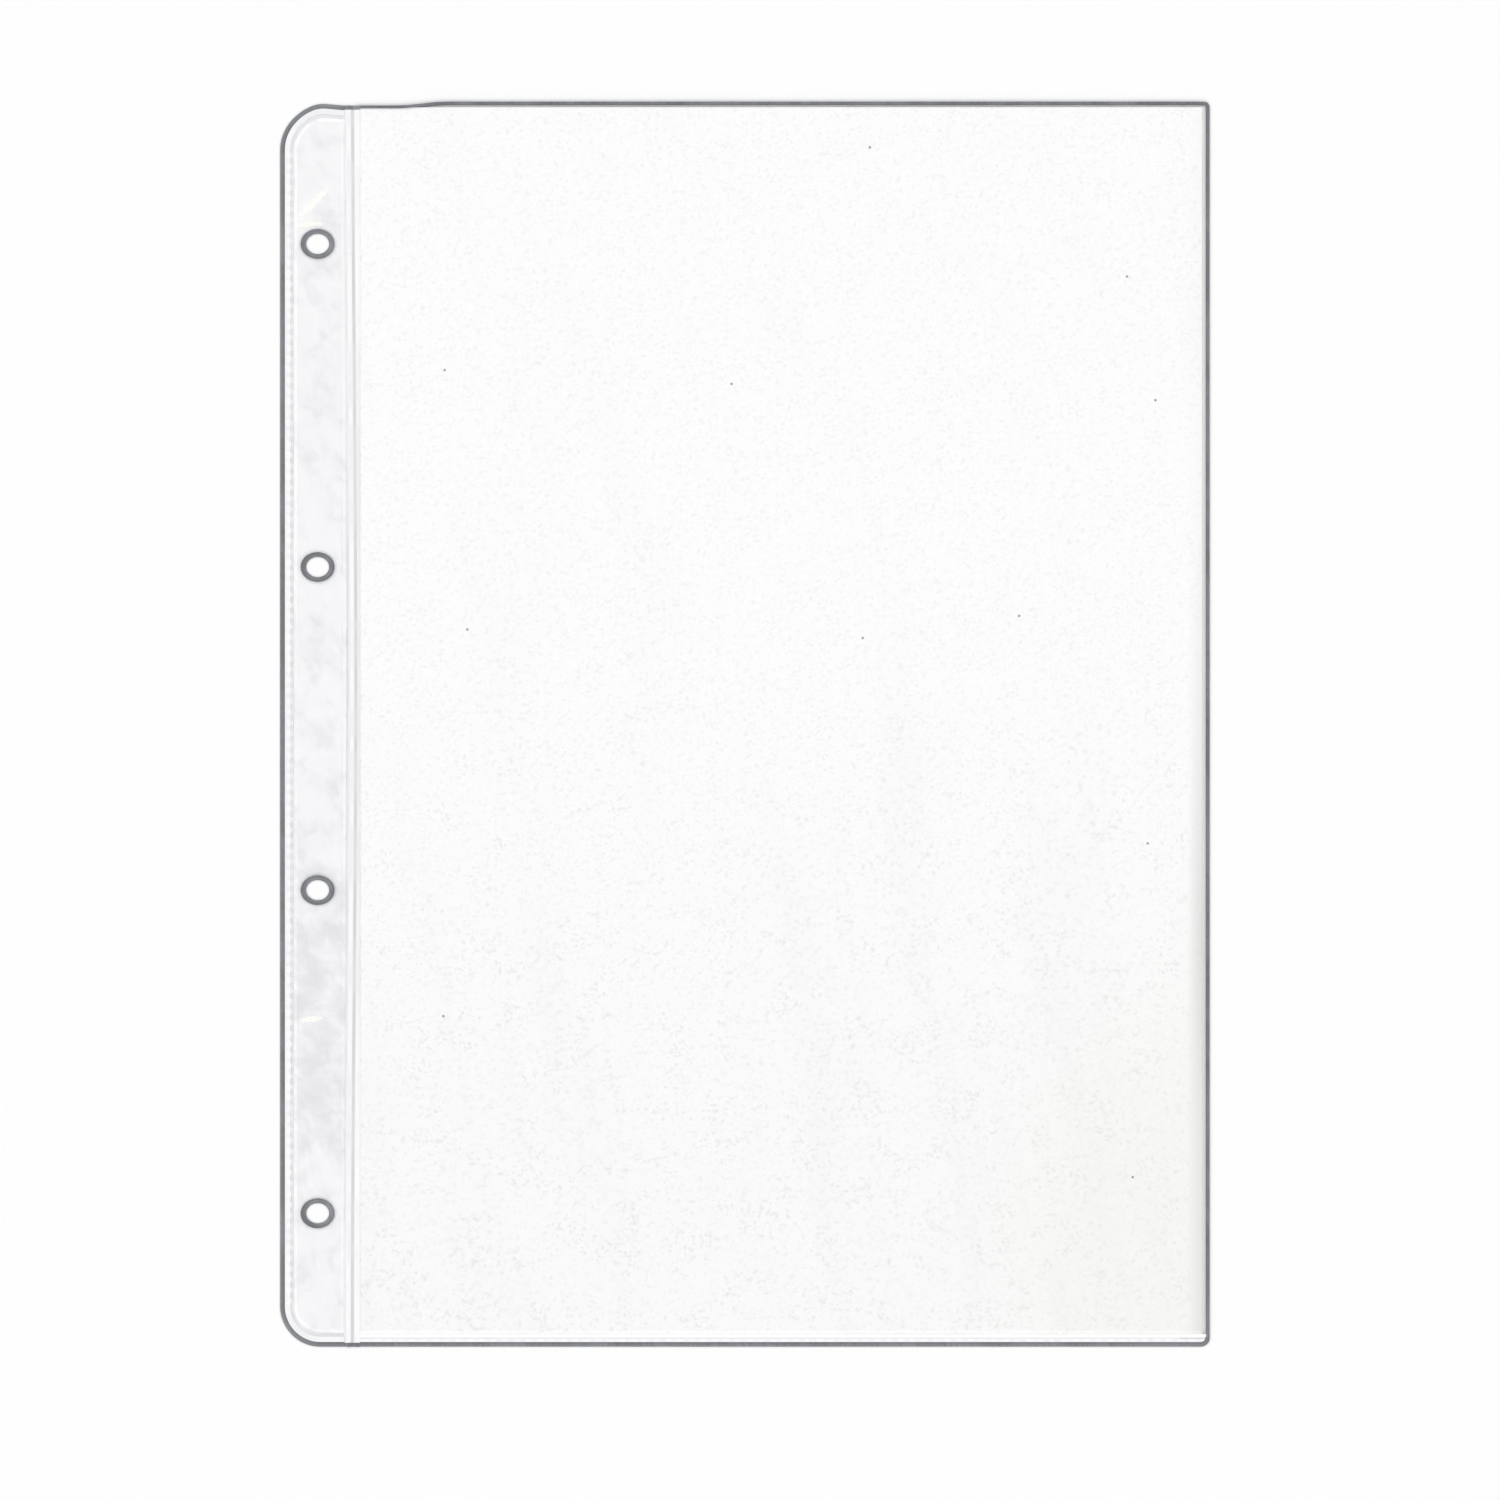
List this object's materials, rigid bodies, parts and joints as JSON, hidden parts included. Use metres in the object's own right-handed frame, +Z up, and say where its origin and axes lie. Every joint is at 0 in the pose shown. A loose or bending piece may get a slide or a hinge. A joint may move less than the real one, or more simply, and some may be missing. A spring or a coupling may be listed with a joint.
{
  "type": "sheet protector",
  "caption": "Clear top-loading punched pocket with welded seams, a reinforced binding margin with ring holes, a folded side and a white sheet that slides out of the open mouth.",
  "frame": {"origin": "under the middle of the sleeve's outline, on the surface that it lies on", "axes": "+X from the binding edge to the fold, +Y from the bottom weld to the open mouth, +Z up through the front film"},
  "size_m": [0.23, 0.3084, 0.0007],
  "materials": {
    "film": "clear glossy film",
    "weld": "clear film, pressed and fused",
    "strip": "clear strip",
    "sheet": "matt white"
  },
  "bodies": {
    "margin": {"outer_edge_weld": "weld", "top_edge_weld": "weld", "bottom_edge_weld": "weld", "margin_back_film": "film", "binding_strip": "strip", "margin_front_film": "film", "binding_seam": "weld"},
    "pocket": {"flex_edge": "film", "pocket_back_film": "film", "pocket_front_film": "film", "side_fold": "film", "bottom_weld": "weld"},
    "sheet": {"insert_sheet": "sheet"}
  },
  "joints": [
    {"name": "page_flex", "type": "hinge", "parent": "margin", "child": "pocket", "pos_m": [-0.0971, 0, 0.00015], "axis": [0, -1, 0], "range_deg": [-90, 90]},
    {"name": "sheet_slide", "type": "slide", "parent": "pocket", "child": "sheet", "axis": [0, 1, 0], "range_m": [0, 0.31]}
  ]
}
